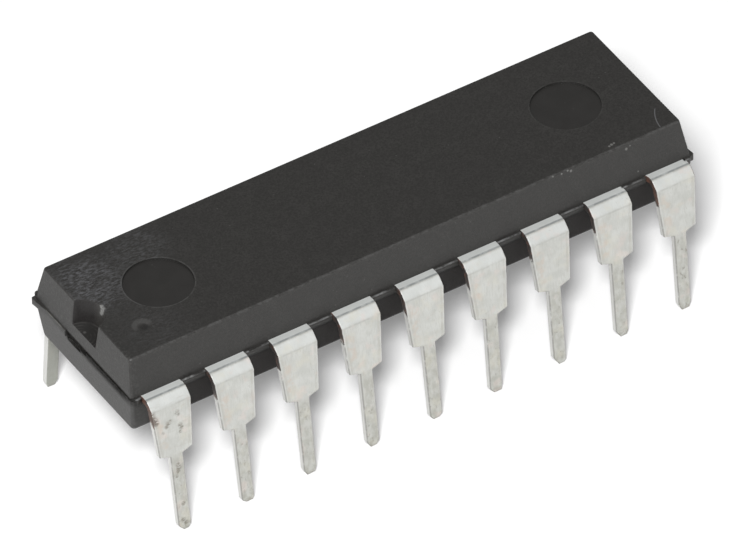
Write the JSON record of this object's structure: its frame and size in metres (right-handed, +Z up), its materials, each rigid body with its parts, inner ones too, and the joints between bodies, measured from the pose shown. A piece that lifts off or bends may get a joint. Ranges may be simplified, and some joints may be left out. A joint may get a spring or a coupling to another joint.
{
  "type": "darlington array chip",
  "caption": "Dual in-line chip: a black moulded body with a half-round end notch and two rows of splayed tinned leads that plug into a socket or solder into a board.",
  "frame": {"origin": "in the plane of the pin tips, below the middle of the body", "axes": "+X along the body away from the notch, +Y across it away from the row that starts with lead 1, +Z up"},
  "size_m": [0.0228, 0.009, 0.007],
  "materials": {
    "mould_compound": "fine matte moulded epoxy, smoother in the ejector marks",
    "tin_plate": "satin tin plate with small scuffs, bare copper on the sheared sides",
    "frame_copper": "bare stamped copper alloy",
    "die_adhesive": "matte silver-filled adhesive",
    "silicon_die": "smooth silicon",
    "bond_gold": "bright drawn wire"
  },
  "bodies": {
    "root": {"body": "mould_compound", "die_pad": "frame_copper", "die_attach": "die_adhesive", "die": "silicon_die", "lead_01": "tin_plate", "lead_02": "tin_plate", "lead_03": "tin_plate", "lead_04": "tin_plate", "lead_05": "tin_plate", "lead_06": "tin_plate", "lead_07": "tin_plate", "lead_08": "tin_plate", "lead_09": "tin_plate", "lead_10": "tin_plate", "lead_11": "tin_plate", "lead_12": "tin_plate", "lead_13": "tin_plate", "lead_14": "tin_plate", "lead_15": "tin_plate", "lead_16": "tin_plate", "lead_17": "tin_plate", "lead_18": "tin_plate", "bond_wire_01": "bond_gold", "bond_wire_02": "bond_gold", "bond_wire_03": "bond_gold", "bond_wire_04": "bond_gold", "bond_wire_05": "bond_gold", "bond_wire_06": "bond_gold", "bond_wire_07": "bond_gold", "bond_wire_08": "bond_gold", "bond_wire_09": "bond_gold", "bond_wire_10": "bond_gold", "bond_wire_11": "bond_gold", "bond_wire_12": "bond_gold", "bond_wire_13": "bond_gold", "bond_wire_14": "bond_gold", "bond_wire_15": "bond_gold", "bond_wire_16": "bond_gold", "bond_wire_17": "bond_gold", "bond_wire_18": "bond_gold"}
  },
  "joints": []
}
